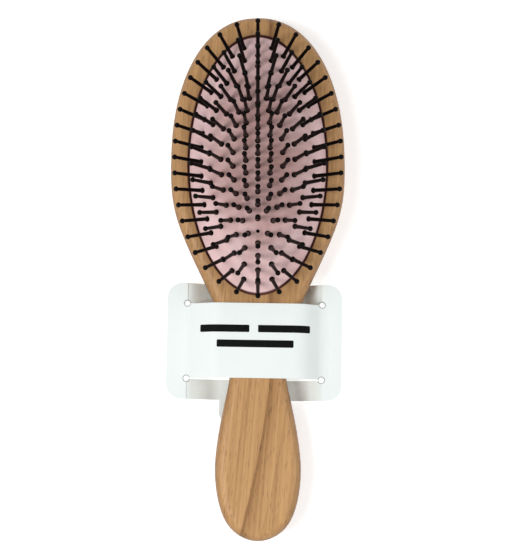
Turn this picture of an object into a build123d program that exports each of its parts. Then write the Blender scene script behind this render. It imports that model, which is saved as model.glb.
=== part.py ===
"""Oval cushion hairbrush lying on its back, pins up, with a slit retail card round its neck.

Millimetres. The origin is on the flat back of the head, under the middle of the cushion.
+X is to the right seen from the front, +Y points to the crown of the head, +Z is the way the pins point.
"""
import math
import os

from build123d import *

os.makedirs("parts", exist_ok=True)

# ---- driving dimensions: wooden body ------------------------------------------------------
BODY_THICKNESS = 17.0
HEAD_HALF_WIDTH = 38.7
HEAD_TOP_Y = 67.0
HEAD_SQUARENESS = 2.2        # exponent of the superellipse of the head's upper half
HANDLE_END_Y = -165.3
FRONT_EDGE_RADIUS = 4.8
BACK_EDGE_RADIUS = 6.0
# half-widths of the body below its widest line, each as (y, half-width)
LOWER_STATIONS = [
    (-15.0, 37.9), (-24.0, 35.9), (-33.0, 32.6), (-42.0, 28.6), (-51.0, 24.3), (-60.0, 20.1),
    (-70.0, 15.9), (-79.0, 13.2), (-88.0, 12.2), (-96.0, 12.7), (-104.0, 14.3), (-113.0, 16.2),
    (-122.0, 17.7), (-133.0, 18.75), (-143.0, 18.2), (-151.0, 16.5), (-158.0, 13.3), (-163.2, 7.6),
]
# the back is flat under the head, then hollowed for the neck and the handle
HOLLOW_FROM_Y = -42.0
HOLLOW_FULL_Y = -52.0
HOLLOW_DEPTH = 2.0

# ---- driving dimensions: air chamber and cushion ------------------------------------------
CHAMBER_A = 31.0             # half-width of the milled chamber
CHAMBER_B = 58.1             # half-length of the milled chamber
CHAMBER_FLOOR_Z = 9.5
GROOVE_DEPTH = 1.3
GROOVE_LOW_Z = 12.9
GROOVE_HIGH_Z = 15.1
MOUTH_CHAMFER = 0.5
CUSHION_A = 30.2
CUSHION_B = 57.3
CUSHION_RIM_Z = 16.4
CUSHION_RISE = 10.5
CUSHION_FULLNESS = 3.2       # exponent of the dome: z = rim + rise * (1 - s ** fullness)
CUSHION_SKIN = 1.3
DOME_GRID_X = 33.0           # the dome surface is drawn over a rectangle this far each way
DOME_GRID_Y = 60.0
BEAD_OUT = 1.7
BEAD_LOW_Z = 13.2
BEAD_HIGH_Z = 14.8
VENT_Y = -31.2
VENT_RADIUS = 0.8

# ---- driving dimensions: pins -------------------------------------------------------------
PIN_HEIGHT = 18.0            # from the rubber to the top of the ball
BALL_RADIUS = 1.14
SHAFT_FOOT_RADIUS = 0.90
SHAFT_TIP_RADIUS = 0.72
COLLAR_RADIUS = 1.26
COLLAR_LOW = 0.16            # clear of the rubber, because the outer ring leans over a little
COLLAR_HEIGHT = 0.7
STEM_RADIUS = 0.70
STEM_HOLE_RADIUS = 0.75
NAIL_HEAD_RADIUS = 1.25
NAIL_HEAD_DEPTH = 1.65
NAIL_HEAD_THICKNESS = 0.6
# rings of pins, from the rim inwards: half-width, half-length, centre y, squareness, count
RINGS = [
    (24.7, 52.8, 0.0, 2.08, 40),
    (21.1, 47.6, 0.0, 1.85, 34),
    (16.1, 42.0, 0.4, 1.86, 28),
    (10.9, 36.4, 0.2, 1.76, 26),
    (5.3, 28.2, 2.5, 3.20, 22),
]
RING_ENDS_FROM = 0.62        # share of a ring's half-length past which a pin counts to its ends
# the outer ring's pins lean out sideways by this share more than the dome's slope
OUTER_SPLAY = 0.27
OUTER_SPLAY_MIDDLE_Y = -8.0  # where the extra lean is greatest
OUTER_SPLAY_REACH = 42.0     # how far from there along Y it fades to nothing
CENTRE_ROW_TOP_Y = 25.2
CENTRE_ROW_PITCH = 5.6
CENTRE_ROW_COUNT = 9

# ---- driving dimensions: card sleeve ------------------------------------------------------
CARD_WIDTH = 77.4
CARD_HEIGHT = 51.4
CARD_CORNER_RADIUS = 6.5
CARD_THICKNESS = 0.45
CARD_CENTRE = (-1.6, -78.3)
CARD_TURN = -0.9             # degrees about Z: the card sits slightly askew
SLIT_HALF_LENGTH = 29.8
SLIT_Y = 16.6
SLIT_WIDTH = 0.4
STOP_HOLE_RADIUS = 1.2
FLAP_Z = 9.0
BAND_Z = 17.85
BAND_FLAT_HALF = 19.3
STRIP_Z = 0.9
STRIP_FLAT_HALF = 19.5
NECK_OFFSET = 1.6            # the neck lies this far right of the card's own middle
BEND_RADIUS = 9.0
TONGUE_LEFT = -15.3
TONGUE_RIGHT = 16.0
TONGUE_LENGTH = 9.7
TONGUE_CORNER = 4.0
PRINT_THICKNESS = 0.06
# printed bars on the band: left x, right x, middle y, height
PRINT_BARS_UPPER = [(-23.8, -2.2, 5.2, 3.2), (1.6, 24.4, 5.2, 3.2)]
PRINT_BARS_LOWER = [(-16.4, 17.2, -1.4, 3.2)]


# ---- wooden body: head, neck and handle in one piece --------------------------------------
def body_outline():
    """The half-widths from crown to handle end, mirrored into one closed smooth curve."""
    right = []
    for degrees in (9, 18, 28, 38, 48, 58, 68, 79):
        angle = math.radians(degrees)
        x = HEAD_HALF_WIDTH * math.sin(angle) ** (2.0 / HEAD_SQUARENESS)
        y = HEAD_TOP_Y * math.cos(angle) ** (2.0 / HEAD_SQUARENESS)
        right.append((x, y))
    right.append((HEAD_HALF_WIDTH, 0.0))
    for y, half in LOWER_STATIONS:
        right.append((half, y))
    left = [(-x, y) for x, y in reversed(right)]
    with BuildSketch() as sketch:
        with BuildLine():
            Spline((0.0, HEAD_TOP_Y), *right, (0.0, HANDLE_END_Y), *left, periodic=True)
        make_face()
    return sketch.sketch


def back_hollow():
    """What is taken off the back: a gentle step, then a flat cut to past the handle's end."""
    with BuildSketch(Plane.YZ) as sketch:
        with BuildLine():
            step = Spline(
                (HOLLOW_FROM_Y, 0.0),
                ((HOLLOW_FROM_Y + HOLLOW_FULL_Y) / 2, HOLLOW_DEPTH / 2),
                (HOLLOW_FULL_Y, HOLLOW_DEPTH),
                tangents=[(-1, 0), (-1, 0)],
            )
            Polyline(
                (HOLLOW_FULL_Y, HOLLOW_DEPTH),
                (HANDLE_END_Y - 5, HOLLOW_DEPTH),
                (HANDLE_END_Y - 5, -3.0),
                (HOLLOW_FROM_Y, -3.0),
                (HOLLOW_FROM_Y, 0.0),
            )
        make_face()
    return extrude(sketch.sketch, amount=60, both=True)


def ellipse_block(a, b, z_low, z_high):
    """An upright elliptical block between two heights."""
    return Pos(0, 0, z_low) * extrude(Ellipse(a, b), amount=z_high - z_low)


def build_wooden_body():
    """Solid body with rounded edges, then the chamber and its undercut groove."""
    body = extrude(body_outline(), amount=BODY_THICKNESS)
    body = body - back_hollow()
    top_edges = body.faces().sort_by(Axis.Z)[-1].edges()
    body = fillet(top_edges, radius=FRONT_EDGE_RADIUS)
    back_faces = [f for f in body.faces() if f.normal_at().Z < -0.7]
    back_edges = []
    for edge in body.edges():
        owners = [f for f in back_faces if any(edge.is_same(e) for e in f.edges())]
        if len(owners) == 1:
            back_edges.append(edge)
    body = fillet(back_edges, radius=BACK_EDGE_RADIUS)
    body = body - ellipse_block(CHAMBER_A, CHAMBER_B, CHAMBER_FLOOR_Z, BODY_THICKNESS + 1)
    groove_a = CHAMBER_A + GROOVE_DEPTH
    groove_b = CHAMBER_B + GROOVE_DEPTH
    body = body - ellipse_block(groove_a, groove_b, GROOVE_LOW_Z, GROOVE_HIGH_Z)
    mouth = [
        e for e in body.edges()
        if abs(e.center().Z - BODY_THICKNESS) < 0.01
        and e.bounding_box().max.X < CHAMBER_A + 0.1
        and e.bounding_box().min.X > -CHAMBER_A - 0.1
        and e.bounding_box().min.Y > -CHAMBER_B - 0.1
        and e.bounding_box().max.Y < CHAMBER_B + 0.1
    ]
    return chamfer(mouth, length=MOUTH_CHAMFER)


# ---- cushion: thin domed rubber skin with a bead that sits in the groove -------------------
def dome_height(x, y):
    """Height of the rubber's outer surface."""
    s = math.hypot(x / CUSHION_A, y / CUSHION_B)
    return CUSHION_RIM_Z + CUSHION_RISE * (1.0 - s ** CUSHION_FULLNESS)


def dome_normal(x, y):
    """Unit normal of the rubber's outer surface."""
    s = math.hypot(x / CUSHION_A, y / CUSHION_B)
    g = CUSHION_RISE * CUSHION_FULLNESS * s ** (CUSHION_FULLNESS - 2.0) if s > 1e-9 else 0.0
    return Vector(g * x / CUSHION_A ** 2, g * y / CUSHION_B ** 2, 1.0).normalized()


def dome_block(a, b, rise, z_low):
    """An upright elliptical block with one dome surface for its top."""
    columns = 11
    rows = 15
    grid = []
    for i in range(columns):
        x = DOME_GRID_X * (2.0 * i / (columns - 1) - 1.0)
        line = []
        for j in range(rows):
            y = DOME_GRID_Y * (2.0 * j / (rows - 1) - 1.0)
            s = math.hypot(x / a, y / b)
            z = CUSHION_RIM_Z + rise * (1.0 - s ** CUSHION_FULLNESS)
            line.append(Vector(x, y, z))
        grid.append(line)
    surface = Face.make_surface_from_array_of_points(grid)
    block = ellipse_block(a, b, z_low, CUSHION_RIM_Z + CUSHION_RISE + 5)
    halves = [half for half in block.split(surface, keep=Keep.BOTH) if half is not None]
    pieces = [solid for half in halves for solid in half.solids()]
    return min(pieces, key=lambda solid: solid.center().Z)


def build_cushion(stations):
    """The skin, its bead, the holes for the pins and the vent."""
    outer = dome_block(CUSHION_A, CUSHION_B, CUSHION_RISE, BEAD_LOW_Z)
    bead = ellipse_block(CUSHION_A + BEAD_OUT, CUSHION_B + BEAD_OUT, BEAD_LOW_Z, BEAD_HIGH_Z)
    inner_a = CUSHION_A - CUSHION_SKIN
    inner_b = CUSHION_B - CUSHION_SKIN
    inner = dome_block(inner_a, inner_b, CUSHION_RISE - CUSHION_SKIN, BEAD_LOW_Z - 1)
    skin = (outer + bead) - inner
    holes = [at * Cylinder(STEM_HOLE_RADIUS, 6) for at in stations]
    holes.append(Pos(0, VENT_Y, CUSHION_RIM_Z + CUSHION_RISE) * Cylinder(VENT_RADIUS, 8))
    return skin - holes


# ---- pins: one moulded shape, stood on the rubber in five rings and a centre row -----------
def build_pin():
    """Nail head under the rubber, stem, foot collar, tapered shaft and ball, as one turning."""
    ball_z = PIN_HEIGHT - BALL_RADIUS
    meet_z = ball_z - math.sqrt(BALL_RADIUS ** 2 - SHAFT_TIP_RADIUS ** 2)
    low = -NAIL_HEAD_DEPTH - NAIL_HEAD_THICKNESS
    with BuildSketch(Plane.XZ) as sketch:
        with BuildLine():
            Polyline(
                (0, PIN_HEIGHT),
                (0, low),
                (NAIL_HEAD_RADIUS, low),
                (NAIL_HEAD_RADIUS, -NAIL_HEAD_DEPTH),
                (STEM_RADIUS, -NAIL_HEAD_DEPTH),
                (STEM_RADIUS, COLLAR_LOW),
                (COLLAR_RADIUS, COLLAR_LOW),
                (COLLAR_RADIUS, COLLAR_HEIGHT - 0.2),
                (COLLAR_RADIUS - 0.25, COLLAR_HEIGHT),
                (SHAFT_FOOT_RADIUS, COLLAR_HEIGHT),
                (SHAFT_TIP_RADIUS, meet_z),
            )
            ThreePointArc(
                (SHAFT_TIP_RADIUS, meet_z),
                (BALL_RADIUS, ball_z),
                (0, PIN_HEIGHT),
            )
        make_face()
    return revolve(sketch.sketch, axis=Axis.Z)


def ring_points(half_width, half_length, centre_y, squareness, count):
    """Points at equal distances along a superellipse, the first one at its top."""
    steps = 2400
    curve = []
    for i in range(steps + 1):
        angle = 2 * math.pi * i / steps
        sine = math.sin(angle)
        cosine = math.cos(angle)
        x = half_width * math.copysign(abs(sine) ** (2 / squareness), sine)
        y = half_length * math.copysign(abs(cosine) ** (2 / squareness), cosine)
        curve.append((x, centre_y + y))
    lengths = [0.0]
    for (x0, y0), (x1, y1) in zip(curve, curve[1:]):
        lengths.append(lengths[-1] + math.hypot(x1 - x0, y1 - y0))
    points = []
    i = 0
    for k in range(count):
        target = lengths[-1] * k / count
        while lengths[i + 1] < target:
            i += 1
        share = (target - lengths[i]) / (lengths[i + 1] - lengths[i])
        x = curve[i][0] + share * (curve[i + 1][0] - curve[i][0])
        y = curve[i][1] + share * (curve[i + 1][1] - curve[i][1])
        points.append((x, y))
    return points


def station(x, y, splay=0.0):
    """Where a pin stands: its foot on the dome and its axis along the dome's normal.

    A splay leans the axis further out along X by that share of its own X part.
    """
    foot = Vector(x, y, dome_height(x, y))
    normal = dome_normal(x, y)
    axis = Vector(normal.X * (1.0 + splay), normal.Y, normal.Z).normalized()
    return Plane(origin=foot, x_dir=(0, 1, 0), z_dir=axis).location


def outer_splay(y):
    """The outer ring's extra lean at y: a parabola that is greatest at its middle."""
    share = (y - OUTER_SPLAY_MIDDLE_Y) / OUTER_SPLAY_REACH
    return OUTER_SPLAY * max(0.0, 1.0 - share ** 2)


def pin_stations():
    """All pin stations, grouped by the part of the dome that they ride on."""
    groups = {}
    for number, ring in enumerate(RINGS, 1):
        ends_y = RING_ENDS_FROM * ring[1]
        for x, y in ring_points(*ring):
            part = "ends" if abs(y - ring[2]) > ends_y else "sides"
            splay = outer_splay(y) if number == 1 else 0.0
            groups.setdefault(f"pins_ring_{number}_{part}", []).append(station(x, y, splay))
    row = [station(0.0, CENTRE_ROW_TOP_Y - k * CENTRE_ROW_PITCH) for k in range(CENTRE_ROW_COUNT)]
    groups["pins_centre_row"] = row
    return groups


# ---- card sleeve: one slit sheet, the middle band in front, the two strips behind ----------
def bent_sheet(level, flat_half, thickness, y_low, y_high):
    """A sheet seen end-on as flap, slope, middle, slope, flap, run between two y values."""
    half = CARD_WIDTH / 2
    points = [
        (-half, FLAP_Z), (-SLIT_HALF_LENGTH, FLAP_Z), (NECK_OFFSET - flat_half, level),
        (NECK_OFFSET + flat_half, level), (SLIT_HALF_LENGTH, FLAP_Z), (half, FLAP_Z),
    ]
    path = FilletPolyline(*points, radius=BEND_RADIUS)
    profile = trace(path, line_width=thickness)
    solid = extrude(profile, amount=y_high - y_low)
    return Pos(0, y_high, 0) * Rot(90, 0, 0) * solid


def place_card(shape):
    """From the card's own frame to the brush's frame."""
    return Pos(CARD_CENTRE[0], CARD_CENTRE[1], 0) * Rot(0, 0, CARD_TURN) * shape


def band_part(thickness):
    """The front band between the slits, in the card's own frame."""
    reach = SLIT_Y - SLIT_WIDTH / 2
    return bent_sheet(BAND_Z, BAND_FLAT_HALF, thickness, -reach, reach)


def build_card():
    """Band, upper strip, lower strip with its tongue, and the flaps that join them."""
    reach = SLIT_Y + SLIT_WIDTH / 2
    top = CARD_HEIGHT / 2
    upper = bent_sheet(STRIP_Z, STRIP_FLAT_HALF, CARD_THICKNESS, reach, top)
    lower = bent_sheet(STRIP_Z, STRIP_FLAT_HALF, CARD_THICKNESS, -top, -reach)
    flap_width = CARD_WIDTH / 2 - SLIT_HALF_LENGTH
    flap_x = SLIT_HALF_LENGTH + flap_width / 2
    flaps = [Pos(s * flap_x, 0, FLAP_Z) * Box(flap_width, CARD_HEIGHT, CARD_THICKNESS) for s in (-1, 1)]
    tongue_width = TONGUE_RIGHT - TONGUE_LEFT
    tongue_height = TONGUE_LENGTH + 6.0
    tongue = extrude(RectangleRounded(tongue_width, tongue_height, TONGUE_CORNER), amount=CARD_THICKNESS)
    tongue_at = (TONGUE_LEFT + TONGUE_RIGHT) / 2, -top - TONGUE_LENGTH + tongue_height / 2
    tongue = Pos(tongue_at[0], tongue_at[1], STRIP_Z - CARD_THICKNESS / 2) * tongue
    plan = extrude(RectangleRounded(CARD_WIDTH, CARD_HEIGHT, CARD_CORNER_RADIUS), amount=30)
    sheet = (band_part(CARD_THICKNESS) + upper + lower + flaps) & (Pos(0, 0, -5) * plan)
    sheet = sheet + tongue
    for side in (-1, 1):
        for row in (-1, 1):
            hole = Cylinder(STOP_HOLE_RADIUS, 4)
            sheet = sheet - Pos(side * SLIT_HALF_LENGTH, row * SLIT_Y, FLAP_Z) * hole
    return place_card(sheet)


def build_print(bars):
    """Films of ink on the front face of the band, in plain bars."""
    films = band_part(CARD_THICKNESS + 2 * PRINT_THICKNESS) - band_part(CARD_THICKNESS)
    marks = []
    for left, right, middle_y, height in bars:
        bar = extrude(RectangleRounded(right - left, height, 0.5), amount=14)
        printed = films & (Pos((left + right) / 2, middle_y, FLAP_Z + 1.6) * bar)
        marks.append(max(printed.solids(), key=lambda solid: solid.center().Z))
    return place_card(Compound(children=marks))


def write(name, shape):
    """One piece, one file."""
    export_step(Compound(children=list(shape.solids())), f"parts/{name}.step")
    print(name, len(shape.solids()), "solids", round(sum(s.volume for s in shape.solids()), 1), "mm3")


groups = pin_stations()
pin = build_pin()
write("wooden_body", build_wooden_body())
write("rubber_cushion", build_cushion([at for stations in groups.values() for at in stations]))
for name, stations in groups.items():
    write(name, Compound(children=[at * pin for at in stations]))
write("card_sleeve", build_card())
write("card_print_upper", build_print(PRINT_BARS_UPPER))
write("card_print_lower", build_print(PRINT_BARS_LOWER))
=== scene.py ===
import bpy
import numpy as np
from mathutils import Matrix, Vector


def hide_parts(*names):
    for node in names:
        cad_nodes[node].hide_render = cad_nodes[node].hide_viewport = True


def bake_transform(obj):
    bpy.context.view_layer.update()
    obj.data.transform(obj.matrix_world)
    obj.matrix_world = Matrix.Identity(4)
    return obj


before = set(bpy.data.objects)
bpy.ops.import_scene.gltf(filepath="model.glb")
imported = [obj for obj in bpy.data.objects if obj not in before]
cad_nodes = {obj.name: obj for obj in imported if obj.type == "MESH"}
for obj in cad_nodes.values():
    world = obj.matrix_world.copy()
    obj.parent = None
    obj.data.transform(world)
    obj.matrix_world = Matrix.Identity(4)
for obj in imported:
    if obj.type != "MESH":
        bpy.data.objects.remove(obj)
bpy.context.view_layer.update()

# ---- Camera, table and light ----------------------------------------------------------------
# The brush lies on a plain pale table in a studio tent. The camera hangs over it from the
# handle's side. A large softbox on the left is the main light, and two weaker ones fill.
CAMERA_PLACE = Vector((0.0, -0.1237, 0.7197))
CAMERA_AIM = Vector((-0.0017, -0.0486, 0.0170))
CAMERA_LENS = 106.1
CAMERA_SENSOR = 36.0
CAMERA_NEAR = 0.01
CAMERA_FAR = 20.0
TABLE_REACH = 4.0
TABLE_GLOW = 0.44            # the table top is lit from inside, so no hard shadow lies on it
TENT_STRENGTH = 0.34
PURE_WHITE = (1.0, 1.0, 1.0, 1.0)
TABLE_WHITE = (0.90, 0.90, 0.90, 1.0)
NODE_COLUMN = 230.0          # spacing of the nodes in the editor
NODE_ROW = 190.0
# name, place, aim, width, height, watts
SOFTBOXES = [
    ("left_softbox", (-0.62, -0.24, 0.98), (0.0, -0.03, 0.0), 0.42, 0.5, 7.4),
    ("handle_softbox", (0.05, -1.10, 0.80), (0.0, -0.05, 0.0), 0.7, 0.4, 1.9),
    ("right_softbox", (0.90, -0.10, 0.90), (0.0, -0.05, 0.0), 0.6, 0.6, 4.0),
]

bpy.context.scene.view_settings.view_transform = "Standard"
camera_data = bpy.data.cameras.new("studio_camera")
camera_data.lens = CAMERA_LENS
camera_data.sensor_width = CAMERA_SENSOR
camera_data.clip_start = CAMERA_NEAR
camera_data.clip_end = CAMERA_FAR
camera = bpy.data.objects.new("studio_camera", camera_data)
bpy.context.scene.collection.objects.link(camera)
forward = (CAMERA_AIM - CAMERA_PLACE).normalized()
sideways = Vector((1.0, 0.0, 0.0))
sideways = (sideways - forward * sideways.dot(forward)).normalized()
upward = sideways.cross(forward)
turn = Matrix((sideways, upward, -forward)).transposed()
camera.matrix_world = Matrix.Translation(CAMERA_PLACE) @ turn.to_4x4()
bpy.context.scene.camera = camera


def lay_out(columns):
    """Sets the nodes of each column one under another, the columns from left to right."""
    for column, members in enumerate(columns):
        for row, node in enumerate(members):
            node.location = (column * NODE_COLUMN, -row * NODE_ROW)


table_mesh = bpy.data.meshes.new("table_top")
table_corners = [
    (-TABLE_REACH, -TABLE_REACH, 0.0),
    (TABLE_REACH, -TABLE_REACH, 0.0),
    (TABLE_REACH, TABLE_REACH, 0.0),
    (-TABLE_REACH, TABLE_REACH, 0.0),
]
table_mesh.from_pydata(table_corners, [], [(0, 1, 2, 3)])
table = bpy.data.objects.new("table_top", table_mesh)
bpy.context.scene.collection.objects.link(table)
table_paint = bpy.data.materials.new("pale_table")
table_paint.use_nodes = True
table_tree = table_paint.node_tree
table_tree.nodes.clear()
table_shader = table_tree.nodes.new("ShaderNodeBsdfPrincipled")
table_shader.label = "Plain pale table, lit from inside"
table_output = table_tree.nodes.new("ShaderNodeOutputMaterial")
table_output.label = "Table top"
lay_out([[table_shader], [table_output]])
table_frame = table_tree.nodes.new("NodeFrame")
table_frame.label = "Table top"
for node in (table_shader, table_output):
    node.parent = table_frame
table_shader.inputs["Base Color"].default_value = TABLE_WHITE
table_shader.inputs["Emission Color"].default_value = PURE_WHITE
table_shader.inputs["Emission Strength"].default_value = TABLE_GLOW
table_shader.inputs["Roughness"].default_value = 0.9
table_shader.inputs["Specular IOR Level"].default_value = 0.05
table_tree.links.new(table_shader.outputs["BSDF"], table_output.inputs["Surface"])
table_mesh.materials.append(table_paint)

tent = bpy.data.worlds.new("studio_tent")
tent.use_nodes = True
tent_tree = tent.node_tree
tent_tree.nodes.clear()
tent_light = tent_tree.nodes.new("ShaderNodeBackground")
tent_light.label = "Even light of the tent"
tent_output = tent_tree.nodes.new("ShaderNodeOutputWorld")
tent_output.label = "Studio tent"
lay_out([[tent_light], [tent_output]])
tent_frame = tent_tree.nodes.new("NodeFrame")
tent_frame.label = "Light of the tent"
for node in (tent_light, tent_output):
    node.parent = tent_frame
tent_light.inputs["Color"].default_value = PURE_WHITE
tent_light.inputs["Strength"].default_value = TENT_STRENGTH
tent_tree.links.new(tent_light.outputs["Background"], tent_output.inputs["Surface"])
bpy.context.scene.world = tent
for softbox_name, place, aim, width, height, watts in SOFTBOXES:
    light_data = bpy.data.lights.new(softbox_name, "AREA")
    light_data.shape = "RECTANGLE"
    light_data.size = width
    light_data.size_y = height
    light_data.energy = watts
    softbox = bpy.data.objects.new(softbox_name, light_data)
    bpy.context.scene.collection.objects.link(softbox)
    toward = Vector(aim) - Vector(place)
    facing = toward.to_track_quat("-Z", "Y").to_matrix().to_4x4()
    softbox.matrix_world = Matrix.Translation(place) @ facing


# ---- Wooden body ----------------------------------------------------------------------------
# Head, neck and handle are sawn and turned from one board of pale ring-porous wood, sanded,
# and wiped with clear oil. One growth ring leaves a dark step down the face of the handle.
WOOD_LIGHT = (0.650, 0.368, 0.155, 1.0)
WOOD_DARK = (0.320, 0.158, 0.055, 1.0)
WOOD_PORE = (0.215, 0.104, 0.042, 1.0)
# painted shade: this colour darkens the rounded sides of the board all round its outline
WOOD_EDGE_SHADE = (0.560, 0.500, 0.440, 1.0)
# painted shade: this colour darkens the wood in the gap under the rubber's edge and, more
# thinly, over the rim of the head
WOOD_GROOVE_SHADE = (0.060, 0.018, 0.012, 1.0)
BOARD_MIDDLE_Z = 0.0085      # the board is twice this thick
MOUTH_A = 0.0310             # half-width of the chamber's mouth
MOUTH_B = 0.0581             # half-length of the chamber's mouth
GRAIN_LEAN = 0.087           # radians that the fibres lean off the handle's own line
STEP_LINE_X = 0.0050         # where the dark ring crosses the neck
STEP_LINE_Y = -0.097         # below this the ring bends away to the left
STEP_LINE_SLOPE = 0.1213     # metres to the left for each metre down the handle
STEP_LINE_BEND = 1.132       # and for each square metre
STEP_FADE = 0.0070           # how far right of its line the dark ring fades out
RING_SPACING = 0.0092

wood = bpy.data.materials.new("oiled_ring_porous_wood")
wood.use_nodes = True
wood_tree = wood.node_tree
wood_tree.nodes.clear()

wood_place = wood_tree.nodes.new("ShaderNodeTexCoord")
wood_place.label = "Place in the board"
wood_lean = wood_tree.nodes.new("ShaderNodeMapping")
wood_lean.label = "Turn to the fibres"

wood_wander_scale = wood_tree.nodes.new("ShaderNodeMapping")
wood_wander_scale.label = "Stretch the wander"
wood_wander = wood_tree.nodes.new("ShaderNodeTexNoise")
wood_wander.label = "Wander of the grain"
wood_wander_size = wood_tree.nodes.new("ShaderNodeMath")
wood_wander_size.label = "Wander in metres"

wood_axes = wood_tree.nodes.new("ShaderNodeSeparateXYZ")
wood_axes.label = "Across and along"
wood_below = wood_tree.nodes.new("ShaderNodeMath")
wood_below.label = "Distance down the handle"
wood_below_only = wood_tree.nodes.new("ShaderNodeMath")
wood_below_only.label = "Straight above the neck"
wood_bend = wood_tree.nodes.new("ShaderNodeMath")
wood_bend.label = "Slope of the ring there"
wood_bend_size = wood_tree.nodes.new("ShaderNodeMath")
wood_bend_size.label = "Ring bends left"
wood_from_step = wood_tree.nodes.new("ShaderNodeMath")
wood_from_step.label = "Distance right of the dark ring"
wood_ring_place = wood_tree.nodes.new("ShaderNodeMath")
wood_ring_place.label = "With the wander"
wood_ring_count = wood_tree.nodes.new("ShaderNodeMath")
wood_ring_count.label = "In ring widths"
wood_ring_saw = wood_tree.nodes.new("ShaderNodeMath")
wood_ring_saw.label = "Place within a ring"
wood_ring_tone = wood_tree.nodes.new("ShaderNodeValToRGB")
wood_ring_tone.label = "Early wood dark, late wood light"
wood_step_share = wood_tree.nodes.new("ShaderNodeMath")
wood_step_share.label = "Share of the fade"
wood_step_mask = wood_tree.nodes.new("ShaderNodeValToRGB")
wood_step_mask.label = "The one strong ring"
wood_step_edge = wood_tree.nodes.new("ShaderNodeMath")
wood_step_edge.label = "Only right of its line"
wood_step_tone = wood_tree.nodes.new("ShaderNodeMath")
wood_step_tone.label = "Depth of the strong ring"
wood_rings = wood_tree.nodes.new("ShaderNodeMath")
wood_rings.label = "Weak rings and strong ring"

wood_streak_scale = wood_tree.nodes.new("ShaderNodeMapping")
wood_streak_scale.label = "Long thin streaks"
wood_streak = wood_tree.nodes.new("ShaderNodeTexNoise")
wood_streak.label = "Streaks along the board"
wood_pore_scale = wood_tree.nodes.new("ShaderNodeMapping")
wood_pore_scale.label = "Short open pores"
wood_pore = wood_tree.nodes.new("ShaderNodeTexNoise")
wood_pore.label = "Pores"
wood_pore_cut = wood_tree.nodes.new("ShaderNodeMapRange")
wood_pore_cut.label = "Only the open ones"
wood_pore_where = wood_tree.nodes.new("ShaderNodeMath")
wood_pore_where.label = "More pores in early wood"
wood_pore_amount = wood_tree.nodes.new("ShaderNodeMath")
wood_pore_amount.label = "Pores drawn"

wood_streak_tone = wood_tree.nodes.new("ShaderNodeMapRange")
wood_streak_tone.label = "Strength of the streaks"
wood_tone = wood_tree.nodes.new("ShaderNodeMath")
wood_tone.label = "Streaks on rings"
wood_body_colour = wood_tree.nodes.new("ShaderNodeMix")
wood_body_colour.label = "Light to dark wood"
wood_pore_colour = wood_tree.nodes.new("ShaderNodeMix")
wood_pore_colour.label = "Dark in the pores"

wood_height = wood_tree.nodes.new("ShaderNodeMath")
wood_height.label = "Height off the board's middle"
wood_height_abs = wood_tree.nodes.new("ShaderNodeMath")
wood_height_abs.label = "Same front and back"
wood_edge_shade_mask = wood_tree.nodes.new("ShaderNodeMapRange")
wood_edge_shade_mask.label = "Painted shade round the edge"
wood_edge_shade_colour = wood_tree.nodes.new("ShaderNodeMix")
wood_edge_shade_colour.label = "Darker round the edge"
wood_mouth_scale = wood_tree.nodes.new("ShaderNodeMapping")
wood_mouth_scale.label = "In chamber half-widths"
wood_mouth_radius = wood_tree.nodes.new("ShaderNodeVectorMath")
wood_mouth_radius.label = "Distance from the chamber's middle"
wood_mouth_share = wood_tree.nodes.new("ShaderNodeMapRange")
wood_mouth_share.label = "Distance out from the mouth"
wood_mouth_shade_mask = wood_tree.nodes.new("ShaderNodeValToRGB")
wood_mouth_shade_mask.label = "Painted shade in the gap, then thinner over the rim"
wood_front = wood_tree.nodes.new("ShaderNodeMath")
wood_front.label = "Not on the back"
wood_mouth_shade_amount = wood_tree.nodes.new("ShaderNodeMath")
wood_mouth_shade_amount.label = "Painted shade in the mouth"
wood_mouth_shade_colour = wood_tree.nodes.new("ShaderNodeMix")
wood_mouth_shade_colour.label = "Painted shade in the gap under the rubber's edge"

wood_sheen = wood_tree.nodes.new("ShaderNodeMapRange")
wood_sheen.label = "Oil soaks in at the pores"
wood_relief = wood_tree.nodes.new("ShaderNodeMath")
wood_relief.label = "Pores lie lower"
wood_bump = wood_tree.nodes.new("ShaderNodeBump")
wood_bump.label = "Open grain"
wood_shader = wood_tree.nodes.new("ShaderNodeBsdfPrincipled")
wood_shader.label = "Oiled wood"
wood_output = wood_tree.nodes.new("ShaderNodeOutputMaterial")
wood_output.label = "Wooden body"

lay_out([
    [wood_place, wood_lean],
    [wood_mouth_scale, wood_mouth_radius, wood_mouth_share, wood_mouth_shade_mask, wood_front],
    [wood_mouth_shade_amount],
    [wood_height, wood_height_abs, wood_edge_shade_mask, wood_edge_shade_colour, wood_mouth_shade_colour],
    [wood_axes, wood_wander_scale, wood_streak_scale, wood_pore_scale],
    [wood_below, wood_wander, wood_streak, wood_pore],
    [wood_below_only, wood_step_share, wood_wander_size],
    [wood_bend, wood_bend_size, wood_from_step],
    [wood_ring_place, wood_ring_count, wood_ring_saw, wood_step_mask, wood_step_edge],
    [wood_ring_tone, wood_step_tone, wood_rings, wood_streak_tone, wood_pore_cut],
    [wood_pore_where, wood_pore_amount, wood_tone],
    [wood_body_colour, wood_pore_colour, wood_sheen, wood_relief],
    [wood_bump, wood_shader],
    [wood_output],
])
grain_frame = wood_tree.nodes.new("NodeFrame")
grain_frame.label = "Growth rings and the dark step"
for node in (
    wood_wander_scale, wood_wander, wood_wander_size, wood_axes, wood_below, wood_below_only,
    wood_bend, wood_bend_size, wood_from_step, wood_step_share, wood_ring_place,
    wood_ring_count, wood_ring_saw, wood_ring_tone, wood_step_mask, wood_step_edge,
    wood_step_tone, wood_rings,
):
    node.parent = grain_frame
pore_frame = wood_tree.nodes.new("NodeFrame")
pore_frame.label = "Streaks and pores"
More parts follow.
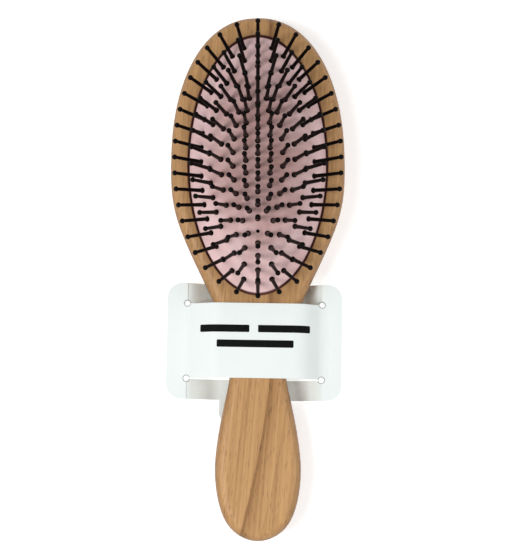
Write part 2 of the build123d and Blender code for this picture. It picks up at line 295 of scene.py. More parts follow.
for node in (
    wood_streak_scale, wood_streak, wood_pore_scale, wood_pore, wood_pore_cut,
    wood_pore_where, wood_pore_amount, wood_streak_tone,
):
    node.parent = pore_frame
edge_and_mouth_shade_frame = wood_tree.nodes.new("NodeFrame")
edge_and_mouth_shade_frame.label = "Painted shade on the edge and in the mouth"
for node in (
    wood_height, wood_height_abs, wood_edge_shade_mask, wood_edge_shade_colour, wood_mouth_scale,
    wood_mouth_radius, wood_mouth_share, wood_mouth_shade_mask, wood_front, wood_mouth_shade_amount,
    wood_mouth_shade_colour,
):
    node.parent = edge_and_mouth_shade_frame
finish_frame = wood_tree.nodes.new("NodeFrame")
finish_frame.label = "Tone of the wood, its sheen and open grain"
for node in (
    wood_tone, wood_body_colour, wood_pore_colour, wood_sheen, wood_relief, wood_bump,
):
    node.parent = finish_frame

wood_lean.inputs["Rotation"].default_value = (0.0, 0.0, GRAIN_LEAN)

wood_wander_scale.inputs["Scale"].default_value = (26.0, 11.0, 26.0)
wood_wander.inputs["Scale"].default_value = 1.0
wood_wander.inputs["Detail"].default_value = 2.0
wood_wander_size.operation = "MULTIPLY_ADD"
wood_wander_size.inputs[1].default_value = 0.006
wood_wander_size.inputs[2].default_value = -0.003

wood_below.operation = "SUBTRACT"
wood_below.inputs[1].default_value = STEP_LINE_Y
wood_below_only.operation = "MINIMUM"
wood_below_only.inputs[1].default_value = 0.0
wood_bend.operation = "MULTIPLY_ADD"
wood_bend.inputs[1].default_value = STEP_LINE_BEND
wood_bend.inputs[2].default_value = -STEP_LINE_SLOPE
wood_bend_size.operation = "MULTIPLY_ADD"
wood_bend_size.inputs[2].default_value = -STEP_LINE_X
wood_from_step.operation = "ADD"
wood_ring_place.operation = "ADD"
wood_ring_count.operation = "DIVIDE"
wood_ring_count.inputs[1].default_value = RING_SPACING
wood_ring_saw.operation = "FRACT"
wood_ring_tone.color_ramp.elements[0].position = 0.0
wood_ring_tone.color_ramp.elements[0].color = (1.0, 1.0, 1.0, 1.0)
wood_ring_tone.color_ramp.elements[1].position = 0.97
wood_ring_tone.color_ramp.elements[1].color = (0.0, 0.0, 0.0, 1.0)
wood_ring_fade = wood_ring_tone.color_ramp.elements.new(0.10)
wood_ring_fade.color = (0.62, 0.62, 0.62, 1.0)
wood_ring_middle = wood_ring_tone.color_ramp.elements.new(0.45)
wood_ring_middle.color = (0.22, 0.22, 0.22, 1.0)
wood_step_share.operation = "DIVIDE"
wood_step_share.inputs[1].default_value = STEP_FADE
wood_step_mask.color_ramp.elements[0].position = 0.0
wood_step_mask.color_ramp.elements[0].color = (1.0, 1.0, 1.0, 1.0)
wood_step_mask.color_ramp.elements[1].position = 1.0
wood_step_mask.color_ramp.elements[1].color = (0.0, 0.0, 0.0, 1.0)
wood_step_dark = wood_step_mask.color_ramp.elements.new(0.09)
wood_step_dark.color = (0.85, 0.85, 0.85, 1.0)
wood_step_soft = wood_step_mask.color_ramp.elements.new(0.20)
wood_step_soft.color = (0.42, 0.42, 0.42, 1.0)
wood_step_edge.operation = "GREATER_THAN"
wood_step_edge.inputs[1].default_value = 0.0
wood_step_tone.operation = "MULTIPLY"
wood_rings.operation = "MULTIPLY_ADD"
wood_rings.inputs[1].default_value = 0.24

wood_streak_scale.inputs["Scale"].default_value = (900.0, 10.0, 900.0)
wood_streak.inputs["Scale"].default_value = 1.0
wood_streak.inputs["Detail"].default_value = 5.0
wood_streak.inputs["Roughness"].default_value = 0.6
wood_pore_scale.inputs["Scale"].default_value = (2100.0, 170.0, 2100.0)
wood_pore.inputs["Scale"].default_value = 1.0
wood_pore.inputs["Detail"].default_value = 1.5
wood_pore_cut.interpolation_type = "SMOOTHSTEP"
wood_pore_cut.inputs["From Min"].default_value = 0.57
wood_pore_cut.inputs["From Max"].default_value = 0.70
wood_pore_where.operation = "MULTIPLY_ADD"
wood_pore_where.inputs[1].default_value = 0.8
wood_pore_where.inputs[2].default_value = 0.38
wood_pore_amount.operation = "MULTIPLY"
wood_pore_amount.use_clamp = True

wood_streak_tone.inputs["From Min"].default_value = 0.30
wood_streak_tone.inputs["From Max"].default_value = 0.75
wood_tone.operation = "MULTIPLY_ADD"
wood_tone.inputs[1].default_value = 0.64
wood_tone.use_clamp = True
wood_body_colour.data_type = "RGBA"
wood_body_colour.inputs[6].default_value = WOOD_LIGHT
wood_body_colour.inputs[7].default_value = WOOD_DARK
wood_pore_colour.data_type = "RGBA"
wood_pore_colour.inputs[7].default_value = WOOD_PORE

wood_height.operation = "SUBTRACT"
wood_height.inputs[1].default_value = BOARD_MIDDLE_Z
wood_height_abs.operation = "ABSOLUTE"
# Painted shade: the mask is strongest half-way up the board's thickness, so the rounded sides
# come out darker.
wood_edge_shade_mask.interpolation_type = "SMOOTHSTEP"
wood_edge_shade_mask.inputs["From Min"].default_value = 0.0086
wood_edge_shade_mask.inputs["From Max"].default_value = 0.0046
wood_edge_shade_colour.data_type = "RGBA"
wood_edge_shade_colour.blend_type = "MULTIPLY"
wood_edge_shade_colour.inputs[7].default_value = WOOD_EDGE_SHADE
# Painted shade: strong in the chamber's mouth, fading over the rim to a quarter past the mouth,
# on the front half only.
wood_mouth_scale.inputs["Scale"].default_value = (1.0 / MOUTH_A, 1.0 / MOUTH_B, 0.0)
wood_mouth_radius.operation = "LENGTH"
wood_mouth_share.inputs["From Min"].default_value = 1.0
wood_mouth_share.inputs["From Max"].default_value = 1.25
wood_mouth_shade_mask.color_ramp.elements[0].position = 0.005
wood_mouth_shade_mask.color_ramp.elements[0].color = (1.0, 1.0, 1.0, 1.0)
wood_mouth_shade_mask.color_ramp.elements[1].position = 0.9
wood_mouth_shade_mask.color_ramp.elements[1].color = (0.0, 0.0, 0.0, 1.0)
wood_rim_shade_step = wood_mouth_shade_mask.color_ramp.elements.new(0.040)
wood_rim_shade_step.color = (0.17, 0.17, 0.17, 1.0)
wood_rim_shade_thin = wood_mouth_shade_mask.color_ramp.elements.new(0.40)
wood_rim_shade_thin.color = (0.06, 0.06, 0.06, 1.0)
wood_front.operation = "GREATER_THAN"
wood_front.inputs[1].default_value = BOARD_MIDDLE_Z
wood_mouth_shade_amount.operation = "MULTIPLY"
wood_mouth_shade_colour.data_type = "RGBA"
wood_mouth_shade_colour.inputs[7].default_value = WOOD_GROOVE_SHADE

wood_sheen.inputs["To Min"].default_value = 0.46
wood_sheen.inputs["To Max"].default_value = 0.72
wood_relief.operation = "MULTIPLY_ADD"
wood_relief.inputs[1].default_value = -1.0
wood_bump.inputs["Strength"].default_value = 0.35
wood_bump.inputs["Distance"].default_value = 0.00012
wood_shader.inputs["Specular IOR Level"].default_value = 0.35

wood_tree.links.new(wood_place.outputs["Object"], wood_lean.inputs["Vector"])
wood_tree.links.new(wood_lean.outputs["Vector"], wood_wander_scale.inputs["Vector"])
wood_tree.links.new(wood_wander_scale.outputs["Vector"], wood_wander.inputs["Vector"])
wood_tree.links.new(wood_wander.outputs["Fac"], wood_wander_size.inputs[0])
wood_tree.links.new(wood_place.outputs["Object"], wood_axes.inputs["Vector"])
wood_tree.links.new(wood_axes.outputs["Y"], wood_below.inputs[0])
wood_tree.links.new(wood_below.outputs["Value"], wood_below_only.inputs[0])
wood_tree.links.new(wood_below_only.outputs["Value"], wood_bend.inputs[0])
wood_tree.links.new(wood_below_only.outputs["Value"], wood_bend_size.inputs[0])
wood_tree.links.new(wood_bend.outputs["Value"], wood_bend_size.inputs[1])
wood_tree.links.new(wood_axes.outputs["X"], wood_from_step.inputs[0])
wood_tree.links.new(wood_bend_size.outputs["Value"], wood_from_step.inputs[1])
wood_tree.links.new(wood_from_step.outputs["Value"], wood_ring_place.inputs[0])
wood_tree.links.new(wood_wander_size.outputs["Value"], wood_ring_place.inputs[1])
wood_tree.links.new(wood_ring_place.outputs["Value"], wood_ring_count.inputs[0])
wood_tree.links.new(wood_ring_count.outputs["Value"], wood_ring_saw.inputs[0])
wood_tree.links.new(wood_ring_saw.outputs["Value"], wood_ring_tone.inputs["Fac"])
wood_tree.links.new(wood_from_step.outputs["Value"], wood_step_share.inputs[0])
wood_tree.links.new(wood_step_share.outputs["Value"], wood_step_mask.inputs["Fac"])
wood_tree.links.new(wood_from_step.outputs["Value"], wood_step_edge.inputs[0])
wood_tree.links.new(wood_step_mask.outputs["Color"], wood_step_tone.inputs[0])
wood_tree.links.new(wood_step_edge.outputs["Value"], wood_step_tone.inputs[1])
wood_tree.links.new(wood_ring_tone.outputs["Color"], wood_rings.inputs[0])
wood_tree.links.new(wood_step_tone.outputs["Value"], wood_rings.inputs[2])
wood_tree.links.new(wood_lean.outputs["Vector"], wood_streak_scale.inputs["Vector"])
wood_tree.links.new(wood_streak_scale.outputs["Vector"], wood_streak.inputs["Vector"])
wood_tree.links.new(wood_lean.outputs["Vector"], wood_pore_scale.inputs["Vector"])
wood_tree.links.new(wood_pore_scale.outputs["Vector"], wood_pore.inputs["Vector"])
wood_tree.links.new(wood_pore.outputs["Fac"], wood_pore_cut.inputs["Value"])
wood_tree.links.new(wood_rings.outputs["Value"], wood_pore_where.inputs[0])
wood_tree.links.new(wood_pore_where.outputs["Value"], wood_pore_amount.inputs[0])
wood_tree.links.new(wood_pore_cut.outputs["Result"], wood_pore_amount.inputs[1])
wood_tree.links.new(wood_streak.outputs["Fac"], wood_streak_tone.inputs["Value"])
wood_tree.links.new(wood_streak_tone.outputs["Result"], wood_tone.inputs[0])
wood_tree.links.new(wood_rings.outputs["Value"], wood_tone.inputs[2])
wood_tree.links.new(wood_tone.outputs["Value"], wood_body_colour.inputs[0])
wood_tree.links.new(wood_body_colour.outputs[2], wood_pore_colour.inputs[6])
wood_tree.links.new(wood_pore_amount.outputs["Value"], wood_pore_colour.inputs[0])
wood_tree.links.new(wood_pore_amount.outputs["Value"], wood_sheen.inputs["Value"])
wood_tree.links.new(wood_pore_amount.outputs["Value"], wood_relief.inputs[0])
wood_tree.links.new(wood_streak.outputs["Fac"], wood_relief.inputs[2])
wood_tree.links.new(wood_relief.outputs["Value"], wood_bump.inputs["Height"])
wood_tree.links.new(wood_axes.outputs["Z"], wood_height.inputs[0])
wood_tree.links.new(wood_height.outputs["Value"], wood_height_abs.inputs[0])
wood_tree.links.new(wood_height_abs.outputs["Value"], wood_edge_shade_mask.inputs["Value"])
wood_tree.links.new(wood_pore_colour.outputs[2], wood_edge_shade_colour.inputs[6])
wood_tree.links.new(wood_edge_shade_mask.outputs["Result"], wood_edge_shade_colour.inputs[0])
wood_tree.links.new(wood_place.outputs["Object"], wood_mouth_scale.inputs["Vector"])
wood_tree.links.new(wood_mouth_scale.outputs["Vector"], wood_mouth_radius.inputs[0])
wood_tree.links.new(wood_mouth_radius.outputs["Value"], wood_mouth_share.inputs["Value"])
wood_tree.links.new(wood_mouth_share.outputs["Result"], wood_mouth_shade_mask.inputs["Fac"])
wood_tree.links.new(wood_axes.outputs["Z"], wood_front.inputs[0])
wood_tree.links.new(wood_mouth_shade_mask.outputs["Color"], wood_mouth_shade_amount.inputs[0])
wood_tree.links.new(wood_front.outputs["Value"], wood_mouth_shade_amount.inputs[1])
wood_tree.links.new(wood_edge_shade_colour.outputs[2], wood_mouth_shade_colour.inputs[6])
wood_tree.links.new(wood_mouth_shade_amount.outputs["Value"], wood_mouth_shade_colour.inputs[0])
wood_tree.links.new(wood_mouth_shade_colour.outputs[2], wood_shader.inputs["Base Color"])
wood_tree.links.new(wood_sheen.outputs["Result"], wood_shader.inputs["Roughness"])
wood_tree.links.new(wood_bump.outputs["Normal"], wood_shader.inputs["Normal"])
wood_tree.links.new(wood_shader.outputs["BSDF"], wood_output.inputs["Surface"])
cad_nodes["wooden_body"].data.materials.clear()
cad_nodes["wooden_body"].data.materials.append(wood)


# ---- Rubber cushion -------------------------------------------------------------------------
# A thin domed skin of moulded pink rubber closes an air chamber in the head. Its edge is a
# bead pressed into a groove; each pin comes up through a small boss, and one hole lets air in.
SKIN_A = 0.0302              # half-width at the rim
SKIN_B = 0.0573              # half-length at the rim
SKIN_RIM_Z = 0.0164
SKIN_RISE = 0.0105
SKIN_FULLNESS = 3.2
SKIN_THICKNESS = 0.0013
BEAD_OUT = 0.0016
BEAD_TOP_Z = 0.0147
BEAD_FOOT_Z = 0.0133
BEAD_EASE = 0.0002           # the bead's two outer corners are eased by this much
RIM_WALL = 0.0004            # straight wall just under the rim
INNER_RIM_DROP = 0.0006      # the inside of the skin starts this far below the rim
VENT_Y = -0.0312
VENT_RADIUS = 0.0008
BOSS_RADIUS = 0.0023
BOSS_HEIGHT = 0.00062
SPOKES = 360                 # columns of the skin's grid, and its rows outside and inside
OUTER_ROWS = 116
INNER_ROWS = 34
RING_STEPS = 2401            # steps that measure the length of a ring of pins
CREASE = 0.7                 # radians; sharper edges than this stay crisp
RUBBER_PINK = (0.930, 0.655, 0.655, 1.0)
# dusky pink serves both the uneven pigment and the painted shade among the close pins in the
# middle
RUBBER_DUSKY_AND_SHADE = (0.600, 0.340, 0.312, 1.0)
# painted shade: dark red for the gap between the rubber's edge and the wood
RUBBER_GAP_SHADE = (0.200, 0.062, 0.055, 1.0)
# rings of pins from the rim inwards: half-width, half-length, centre y, squareness, count
PIN_RINGS = [
    (0.0247, 0.0528, 0.0000, 2.08, 40),
    (0.0211, 0.0476, 0.0000, 1.85, 34),
    (0.0161, 0.0420, 0.0004, 1.86, 28),
    (0.0109, 0.0364, 0.0002, 1.76, 26),
    (0.0053, 0.0282, 0.0025, 3.20, 22),
]
CENTRE_ROW_TOP_Y = 0.0252
CENTRE_ROW_PITCH = 0.0056
CENTRE_ROW_COUNT = 9


def dome_height(x, y, half_width, half_length, rise):
    """Rim height plus the rise times one minus the elliptical radius to the fullness."""
    radius = np.hypot(x / half_width, y / half_length)
    return SKIN_RIM_Z + rise * (1.0 - np.clip(radius, 0.0, 1.0) ** SKIN_FULLNESS)


def ring_of_feet(half_width, half_length, centre_y, squareness, count):
    """Points at equal distances along a superellipse, |x/a|^n + |y/b|^n = 1, from its top."""
    angle = np.linspace(0.0, 2.0 * np.pi, RING_STEPS)
    x = half_width * np.sign(np.sin(angle)) * np.abs(np.sin(angle)) ** (2.0 / squareness)
    y = half_length * np.sign(np.cos(angle)) * np.abs(np.cos(angle)) ** (2.0 / squareness)
    walked = np.concatenate([[0.0], np.cumsum(np.hypot(np.diff(x), np.diff(y)))])
    marks = np.arange(count) * walked[-1] / count
    return np.column_stack([np.interp(marks, walked, x), centre_y + np.interp(marks, walked, y)])


def closed_grid(name, grid):
    """A mesh of quads from a grid of points, rows by columns, that closes both ways round."""
    rows, columns = grid.shape[:2]
    index = np.arange(rows * columns).reshape(rows, columns)
    after = np.roll(index, -1, axis=0)
    quads = np.stack([
        index, np.roll(index, -1, axis=1), np.roll(after, -1, axis=1), after,
    ], axis=-1).reshape(-1, 4)
    points = grid.reshape(-1, 3)
    a, b, c, d = (points[quads[:, k]] for k in range(4))
    volume = np.einsum("ij,ij->i", a, np.cross(b, c) + np.cross(c, d)).sum()
    if volume < 0.0:
        quads = quads[:, ::-1]
    mesh = bpy.data.meshes.new(name)
    mesh.from_pydata(points.tolist(), [], quads.tolist())
    mesh.polygons.foreach_set("use_smooth", np.ones(len(quads), dtype=bool))
    mesh.set_sharp_from_angle(angle=CREASE)
    mesh.update()
    return mesh


feet = [ring_of_feet(*ring) for ring in PIN_RINGS]
row_y = CENTRE_ROW_TOP_Y - CENTRE_ROW_PITCH * np.arange(CENTRE_ROW_COUNT)
feet.append(np.column_stack([np.zeros(CENTRE_ROW_COUNT), row_y]))
feet = np.concatenate(feet)


def skin_rows(shares, half_width, half_length, rise, around):
    """Straight lines from the vent's edge to the rim, lifted onto a dome surface."""
    rim = np.column_stack([half_width * np.cos(around), half_length * np.sin(around)])
    spoke = rim - np.array([0.0, VENT_Y])
    unit = spoke / np.linalg.norm(spoke, axis=1, keepdims=True)
    mouth = np.array([0.0, VENT_Y]) + VENT_RADIUS * unit
    flat = mouth[None] + shares[:, None, None] * (rim - mouth)[None]
    height = dome_height(flat[..., 0], flat[..., 1], half_width, half_length, rise)
    return np.concatenate([flat, height[..., None]], axis=-1)


def build_skin():
    """Outer dome with its bosses, wall, bead, inner dome and vent wall, as one closed skin.

    A boss lifts the skin by its height times the square of one minus the squared distance
    from the pin over the boss's radius. The vent has a lip of half that height.
    """
    around = np.linspace(0.0, 2.0 * np.pi, SPOKES, endpoint=False)
    outer = skin_rows(np.linspace(0.0, 1.0, OUTER_ROWS), SKIN_A, SKIN_B, SKIN_RISE, around)
    plan = outer[..., :2].reshape(-1, 1, 2)
    away = np.sqrt(((plan - feet[None]) ** 2).sum(-1)).min(1).reshape(outer.shape[:2])
    boss = np.clip(1.0 - (away / BOSS_RADIUS) ** 2, 0.0, 1.0) ** 2
    from_vent = np.hypot(outer[..., 0], outer[..., 1] - VENT_Y)
    lip = np.clip(1.0 - ((from_vent - VENT_RADIUS) / (2.0 * VENT_RADIUS)) ** 2, 0.0, 1.0) ** 2
    outer[..., 2] += BOSS_HEIGHT * np.maximum(boss, 0.5 * lip)
    rim = outer[-1]
    cosine, sine = np.cos(around), np.sin(around)
    edge = []
    for out, z in (
        (0.0, SKIN_RIM_Z - RIM_WALL), (0.0, BEAD_TOP_Z + BEAD_EASE),
        (BEAD_OUT - BEAD_EASE, BEAD_TOP_Z),
        (BEAD_OUT, BEAD_TOP_Z - BEAD_EASE), (BEAD_OUT, BEAD_FOOT_Z),
        (-SKIN_THICKNESS, BEAD_FOOT_Z),
        (-SKIN_THICKNESS, SKIN_RIM_Z - INNER_RIM_DROP),
    ):
        edge.append(np.column_stack([
            (SKIN_A + out) * cosine, (SKIN_B + out) * sine, np.full_like(cosine, z),
        ]))
    inner = skin_rows(
        np.linspace(1.0, 0.0, INNER_ROWS), SKIN_A - SKIN_THICKNESS, SKIN_B - SKIN_THICKNESS,
        SKIN_RISE - SKIN_THICKNESS, around,
    )
    return closed_grid("rubber_skin", np.concatenate([outer, np.stack(edge), inner]))


rubber = bpy.data.materials.new("moulded_pink_rubber")
rubber.use_nodes = True
rubber_tree = rubber.node_tree
rubber_tree.nodes.clear()
rubber_place = rubber_tree.nodes.new("ShaderNodeTexCoord")
rubber_place.label = "Place on the pad"
rubber_cloud = rubber_tree.nodes.new("ShaderNodeTexNoise")
rubber_cloud.label = "Uneven pigment"
rubber_speck = rubber_tree.nodes.new("ShaderNodeTexNoise")
rubber_speck.label = "Moulding dust"
rubber_shade = rubber_tree.nodes.new("ShaderNodeMapRange")
rubber_shade.label = "How dusky"
rubber_middle_shade = rubber_tree.nodes.new("ShaderNodeMapRange")
rubber_middle_shade.label = "Painted shade among the close pins"
rubber_pigment_and_shade = rubber_tree.nodes.new("ShaderNodeMath")
rubber_pigment_and_shade.label = "Uneven pigment and painted shade in the middle"
rubber_colour = rubber_tree.nodes.new("ShaderNodeMix")
rubber_colour.label = "Pink to dusky pink"
rubber_rim_scale = rubber_tree.nodes.new("ShaderNodeMapping")
rubber_rim_scale.label = "In pad half-widths"
rubber_rim_radius = rubber_tree.nodes.new("ShaderNodeVectorMath")
rubber_rim_radius.label = "Distance from the pad's middle"
rubber_rim_shade_mask = rubber_tree.nodes.new("ShaderNodeMapRange")
rubber_rim_shade_mask.label = "Along the rim"
rubber_rim_shade_colour = rubber_tree.nodes.new("ShaderNodeMix")
rubber_rim_shade_colour.label = "Painted shade of the gap at the rim"
rubber_satin = rubber_tree.nodes.new("ShaderNodeMapRange")
rubber_satin.label = "Satin, duller in the dust"
rubber_bump = rubber_tree.nodes.new("ShaderNodeBump")
rubber_bump.label = "Mould texture"
rubber_shader = rubber_tree.nodes.new("ShaderNodeBsdfPrincipled")
rubber_shader.label = "Soft rubber"
rubber_output = rubber_tree.nodes.new("ShaderNodeOutputMaterial")
rubber_output.label = "Rubber cushion"

lay_out([
    [rubber_place, rubber_rim_scale, rubber_rim_radius, rubber_rim_shade_mask],
    [rubber_cloud, rubber_speck],
    [rubber_shade, rubber_middle_shade, rubber_pigment_and_shade, rubber_satin, rubber_bump],
    [rubber_colour, rubber_rim_shade_colour],
    [rubber_shader],
    [rubber_output],
])
rubber_frame = rubber_tree.nodes.new("NodeFrame")
rubber_frame.label = "Pigment, dust and painted shade"
for node in (
    rubber_cloud, rubber_speck, rubber_shade, rubber_middle_shade, rubber_pigment_and_shade, rubber_colour,
    rubber_satin, rubber_bump,
):
    node.parent = rubber_frame
rim_shade_frame = rubber_tree.nodes.new("NodeFrame")
rim_shade_frame.label = "Painted shade along the rim"
for node in (rubber_rim_scale, rubber_rim_radius, rubber_rim_shade_mask, rubber_rim_shade_colour):
    node.parent = rim_shade_frame

rubber_cloud.inputs["Scale"].default_value = 95.0
rubber_cloud.inputs["Detail"].default_value = 3.0
rubber_speck.inputs["Scale"].default_value = 1400.0
rubber_speck.inputs["Detail"].default_value = 2.0
rubber_shade.inputs["From Min"].default_value = 0.35
rubber_shade.inputs["From Max"].default_value = 0.70
# Painted shade: the pad darkens toward its middle, where the pins stand close.
rubber_middle_shade.interpolation_type = "SMOOTHSTEP"
rubber_middle_shade.inputs["From Min"].default_value = 0.92
rubber_middle_shade.inputs["From Max"].default_value = 0.35
rubber_middle_shade.inputs["To Max"].default_value = 0.62
rubber_pigment_and_shade.operation = "MULTIPLY_ADD"
rubber_pigment_and_shade.inputs[1].default_value = 0.45
rubber_pigment_and_shade.use_clamp = True
rubber_colour.data_type = "RGBA"
rubber_colour.inputs[6].default_value = RUBBER_PINK
rubber_colour.inputs[7].default_value = RUBBER_DUSKY_AND_SHADE
rubber_rim_scale.inputs["Scale"].default_value = (1.0 / SKIN_A, 1.0 / SKIN_B, 0.0)
rubber_rim_radius.operation = "LENGTH"
# Painted shade: the rubber turns dark red from just inside the rim outwards, over the wall and
# the bead.
rubber_rim_shade_mask.interpolation_type = "SMOOTHSTEP"
rubber_rim_shade_mask.inputs["From Min"].default_value = 0.992
rubber_rim_shade_mask.inputs["From Max"].default_value = 1.004
rubber_rim_shade_colour.data_type = "RGBA"
rubber_rim_shade_colour.inputs[7].default_value = RUBBER_GAP_SHADE
rubber_satin.inputs["To Min"].default_value = 0.38
rubber_satin.inputs["To Max"].default_value = 0.58
rubber_bump.inputs["Strength"].default_value = 0.15
rubber_bump.inputs["Distance"].default_value = 0.00008
rubber_shader.inputs["Specular IOR Level"].default_value = 0.4

rubber_tree.links.new(rubber_place.outputs["Object"], rubber_cloud.inputs["Vector"])
rubber_tree.links.new(rubber_place.outputs["Object"], rubber_speck.inputs["Vector"])
rubber_tree.links.new(rubber_cloud.outputs["Fac"], rubber_shade.inputs["Value"])
rubber_tree.links.new(rubber_shade.outputs["Result"], rubber_pigment_and_shade.inputs[0])
rubber_tree.links.new(rubber_rim_radius.outputs["Value"], rubber_middle_shade.inputs["Value"])
rubber_tree.links.new(rubber_middle_shade.outputs["Result"], rubber_pigment_and_shade.inputs[2])
rubber_tree.links.new(rubber_pigment_and_shade.outputs["Value"], rubber_colour.inputs[0])
rubber_tree.links.new(rubber_speck.outputs["Fac"], rubber_satin.inputs["Value"])
rubber_tree.links.new(rubber_speck.outputs["Fac"], rubber_bump.inputs["Height"])
rubber_tree.links.new(rubber_place.outputs["Object"], rubber_rim_scale.inputs["Vector"])
rubber_tree.links.new(rubber_rim_scale.outputs["Vector"], rubber_rim_radius.inputs[0])
rubber_tree.links.new(rubber_rim_radius.outputs["Value"], rubber_rim_shade_mask.inputs["Value"])
rubber_tree.links.new(rubber_rim_shade_mask.outputs["Result"], rubber_rim_shade_colour.inputs[0])
rubber_tree.links.new(rubber_colour.outputs[2], rubber_rim_shade_colour.inputs[6])
rubber_tree.links.new(rubber_rim_shade_colour.outputs[2], rubber_shader.inputs["Base Color"])
rubber_tree.links.new(rubber_satin.outputs["Result"], rubber_shader.inputs["Roughness"])
rubber_tree.links.new(rubber_bump.outputs["Normal"], rubber_shader.inputs["Normal"])
rubber_tree.links.new(rubber_shader.outputs["BSDF"], rubber_output.inputs["Surface"])

skin_mesh = build_skin()
skin_mesh.materials.append(rubber)
skin = bpy.data.objects.new("cushion_skin", skin_mesh)
bpy.context.scene.collection.objects.link(skin)
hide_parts("rubber_cushion")
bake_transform(skin)


# ---- Pins -----------------------------------------------------------------------------------
# Each pin is one moulding of black nylon with a ball tip, pushed up through the rubber until
# its foot collar snaps out. Handling leaves a faint haze and a hint of brown on the black.
NYLON_BLACK = (0.0018, 0.0013, 0.0012, 1.0)
NYLON_BROWN_BLACK = (0.0060, 0.0036, 0.0028, 1.0)

nylon = bpy.data.materials.new("black_nylon")
nylon.use_nodes = True
nylon_tree = nylon.node_tree
nylon_tree.nodes.clear()
nylon_place = nylon_tree.nodes.new("ShaderNodeTexCoord")
nylon_place.label = "Place among the pins"
nylon_haze = nylon_tree.nodes.new("ShaderNodeTexNoise")
nylon_haze.label = "Handling haze"
nylon_colour = nylon_tree.nodes.new("ShaderNodeMix")
nylon_colour.label = "Black to brown black"
nylon_gloss = nylon_tree.nodes.new("ShaderNodeMapRange")
nylon_gloss.label = "Gloss under the haze"
nylon_bump = nylon_tree.nodes.new("ShaderNodeBump")
nylon_bump.label = "Flow marks"
nylon_shader = nylon_tree.nodes.new("ShaderNodeBsdfPrincipled")
nylon_shader.label = "Nylon"
nylon_output = nylon_tree.nodes.new("ShaderNodeOutputMaterial")
nylon_output.label = "Pins"

lay_out([
    [nylon_place],
    [nylon_haze],
    [nylon_colour, nylon_gloss, nylon_bump],
    [nylon_shader],
    [nylon_output],
])
nylon_frame = nylon_tree.nodes.new("NodeFrame")
nylon_frame.label = "Haze on the nylon"
for node in (nylon_haze, nylon_colour, nylon_gloss, nylon_bump):
    node.parent = nylon_frame

nylon_haze.inputs["Scale"].default_value = 700.0
nylon_haze.inputs["Detail"].default_value = 2.0
nylon_colour.data_type = "RGBA"
nylon_colour.inputs[6].default_value = NYLON_BLACK
nylon_colour.inputs[7].default_value = NYLON_BROWN_BLACK
nylon_gloss.inputs["To Min"].default_value = 0.30
nylon_gloss.inputs["To Max"].default_value = 0.50
nylon_bump.inputs["Strength"].default_value = 0.08
nylon_bump.inputs["Distance"].default_value = 0.00005
nylon_shader.inputs["Specular IOR Level"].default_value = 0.06

nylon_tree.links.new(nylon_place.outputs["Object"], nylon_haze.inputs["Vector"])
nylon_tree.links.new(nylon_haze.outputs["Fac"], nylon_colour.inputs[0])
nylon_tree.links.new(nylon_haze.outputs["Fac"], nylon_gloss.inputs["Value"])
nylon_tree.links.new(nylon_haze.outputs["Fac"], nylon_bump.inputs["Height"])
nylon_tree.links.new(nylon_colour.outputs[2], nylon_shader.inputs["Base Color"])
nylon_tree.links.new(nylon_gloss.outputs["Result"], nylon_shader.inputs["Roughness"])
nylon_tree.links.new(nylon_bump.outputs["Normal"], nylon_shader.inputs["Normal"])
nylon_tree.links.new(nylon_shader.outputs["BSDF"], nylon_output.inputs["Surface"])
for node_name, piece in cad_nodes.items():
    if node_name.startswith("pins_"):
        piece.data.materials.clear()
        piece.data.materials.append(nylon)


# ---- Card sleeve and its print --------------------------------------------------------------
# A die-cut sheet of white coated card with two slits. The handle is threaded through, so the
# middle band lies in front of the neck and the two strips behind. The print is plain bars.
CARD_CENTRE = (-0.0016, -0.0783)
CARD_TURN = np.radians(-0.9)
STOP_HOLE_PLACE = (0.0298, 0.0166, 0.0)  # from the card's middle, the same in all four corners
STOP_HOLE_RADIUS = 0.0012
HOLE_SHADE_WIDTH = 0.0007        # how far the painted shade greys the card round each stop hole
HOLE_SHADE_GREY = (0.32, 0.33, 0.33, 1.0)
CARD_WHITE = (0.89, 0.945, 0.925, 1.0)
CARD_SHADE = (0.82, 0.875, 0.855, 1.0)
INK_BLACK = (0.003, 0.003, 0.004, 1.0)
INK_WORN = (0.011, 0.011, 0.012, 1.0)
CLOUD_TO_GRAIN = 0.07        # the coating's clouds are this much coarser than its fibres


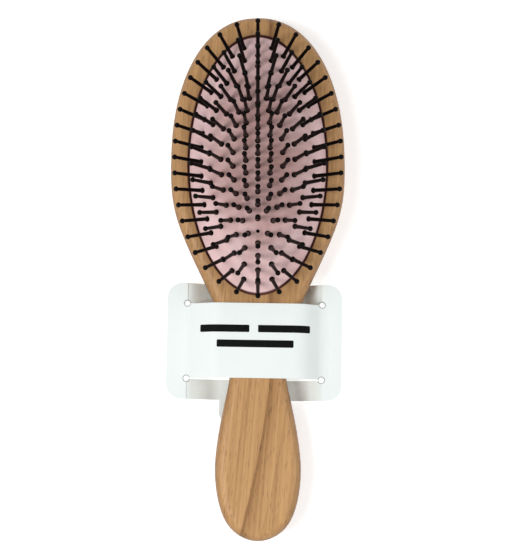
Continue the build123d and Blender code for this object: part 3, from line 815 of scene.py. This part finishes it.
def printed_card(name, light, dark, grain_scale, gloss_range, relief, shine):
    """Card or ink: two near tones mixed by a fine grain, with a little tooth in the surface and
    painted shade greying the sheet round the four stop holes.
    """
    material = bpy.data.materials.new(name)
    material.use_nodes = True
    tree = material.node_tree
    tree.nodes.clear()
    place = tree.nodes.new("ShaderNodeTexCoord")
    place.label = "Place on the card"
    grain = tree.nodes.new("ShaderNodeTexNoise")
    grain.label = "Pulp fibres"
    cloud = tree.nodes.new("ShaderNodeTexNoise")
    cloud.label = "Cloudiness of the coating"
    both = tree.nodes.new("ShaderNodeMath")
    both.label = "Fibres and cloudiness"
    colour = tree.nodes.new("ShaderNodeMix")
    colour.label = "Light and dark of the sheet"
    square_up = tree.nodes.new("ShaderNodeMapping")
    square_up.label = "Square to the card's own middle"
    quarter = tree.nodes.new("ShaderNodeVectorMath")
    quarter.label = "All four corners at once"
    from_hole = tree.nodes.new("ShaderNodeVectorMath")
    from_hole.label = "From the stop hole"
    hole_shade = tree.nodes.new("ShaderNodeMapRange")
    hole_shade.label = "Painted shade round the hole"
    hole_shaded_colour = tree.nodes.new("ShaderNodeMix")
    hole_shaded_colour.label = "Greyed round the hole"
    gloss = tree.nodes.new("ShaderNodeMapRange")
    gloss.label = "Gloss of the coating"
    bump = tree.nodes.new("ShaderNodeBump")
    bump.label = "Tooth of the sheet"
    shader = tree.nodes.new("ShaderNodeBsdfPrincipled")
    shader.label = "Coated surface"
    output = tree.nodes.new("ShaderNodeOutputMaterial")
    output.label = "Card sleeve"

    lay_out([
        [place],
        [square_up, quarter, from_hole, hole_shade],
        [grain, cloud],
        [both, gloss, bump],
        [colour, hole_shaded_colour],
        [shader],
        [output],
    ])
    paper_frame = tree.nodes.new("NodeFrame")
    paper_frame.label = "Fibres under the coating"
    for node in (grain, cloud, both, colour, gloss, bump):
        node.parent = paper_frame
    hole_shade_frame = tree.nodes.new("NodeFrame")
    hole_shade_frame.label = "Painted shade round the stop holes"
    for node in (square_up, quarter, from_hole, hole_shade, hole_shaded_colour):
        node.parent = hole_shade_frame

    grain.inputs["Scale"].default_value = grain_scale
    grain.inputs["Detail"].default_value = 4.0
    cloud.inputs["Scale"].default_value = grain_scale * CLOUD_TO_GRAIN
    cloud.inputs["Detail"].default_value = 2.0
    both.operation = "MULTIPLY"
    colour.data_type = "RGBA"
    colour.inputs[6].default_value = light
    colour.inputs[7].default_value = dark
    cosine, sine = np.cos(-CARD_TURN), np.sin(-CARD_TURN)
    square_up.inputs["Location"].default_value = (
        sine * CARD_CENTRE[1] - cosine * CARD_CENTRE[0],
        -sine * CARD_CENTRE[0] - cosine * CARD_CENTRE[1],
        0.0,
    )
    square_up.inputs["Rotation"].default_value = (0.0, 0.0, -CARD_TURN)
    square_up.inputs["Scale"].default_value = (1.0, 1.0, 0.0)
    quarter.operation = "ABSOLUTE"
    from_hole.operation = "DISTANCE"
    from_hole.inputs[1].default_value = STOP_HOLE_PLACE
    # Painted shade: the sheet greys in a ring round each of the four stop holes.
    hole_shade.interpolation_type = "SMOOTHSTEP"
    hole_shade.inputs["From Min"].default_value = STOP_HOLE_RADIUS + HOLE_SHADE_WIDTH
    hole_shade.inputs["From Max"].default_value = STOP_HOLE_RADIUS
    hole_shaded_colour.data_type = "RGBA"
    hole_shaded_colour.inputs[7].default_value = HOLE_SHADE_GREY
    gloss.inputs["To Min"].default_value = gloss_range[0]
    gloss.inputs["To Max"].default_value = gloss_range[1]
    bump.inputs["Strength"].default_value = relief
    bump.inputs["Distance"].default_value = 0.00004
    shader.inputs["Specular IOR Level"].default_value = shine

    tree.links.new(place.outputs["Object"], grain.inputs["Vector"])
    tree.links.new(place.outputs["Object"], cloud.inputs["Vector"])
    tree.links.new(grain.outputs["Fac"], both.inputs[0])
    tree.links.new(cloud.outputs["Fac"], both.inputs[1])
    tree.links.new(both.outputs["Value"], colour.inputs[0])
    tree.links.new(grain.outputs["Fac"], gloss.inputs["Value"])
    tree.links.new(grain.outputs["Fac"], bump.inputs["Height"])
    tree.links.new(place.outputs["Object"], square_up.inputs["Vector"])
    tree.links.new(square_up.outputs["Vector"], quarter.inputs[0])
    tree.links.new(quarter.outputs["Vector"], from_hole.inputs[0])
    tree.links.new(from_hole.outputs["Value"], hole_shade.inputs["Value"])
    tree.links.new(hole_shade.outputs["Result"], hole_shaded_colour.inputs[0])
    tree.links.new(colour.outputs[2], hole_shaded_colour.inputs[6])
    tree.links.new(hole_shaded_colour.outputs[2], shader.inputs["Base Color"])
    tree.links.new(gloss.outputs["Result"], shader.inputs["Roughness"])
    tree.links.new(bump.outputs["Normal"], shader.inputs["Normal"])
    tree.links.new(shader.outputs["BSDF"], output.inputs["Surface"])
    return material


card_stock = printed_card(
    "white_coated_card", CARD_WHITE, CARD_SHADE,
    grain_scale=900.0, gloss_range=(0.45, 0.65), relief=0.12, shine=0.3,
)
card_ink = printed_card(
    "matt_black_ink", INK_BLACK, INK_WORN,
    grain_scale=1600.0, gloss_range=(0.50, 0.70), relief=0.10, shine=0.07,
)
cad_nodes["card_sleeve"].data.materials.clear()
cad_nodes["card_sleeve"].data.materials.append(card_stock)
for node_name in ("card_print_upper", "card_print_lower"):
    cad_nodes[node_name].data.materials.clear()
    cad_nodes[node_name].data.materials.append(card_ink)
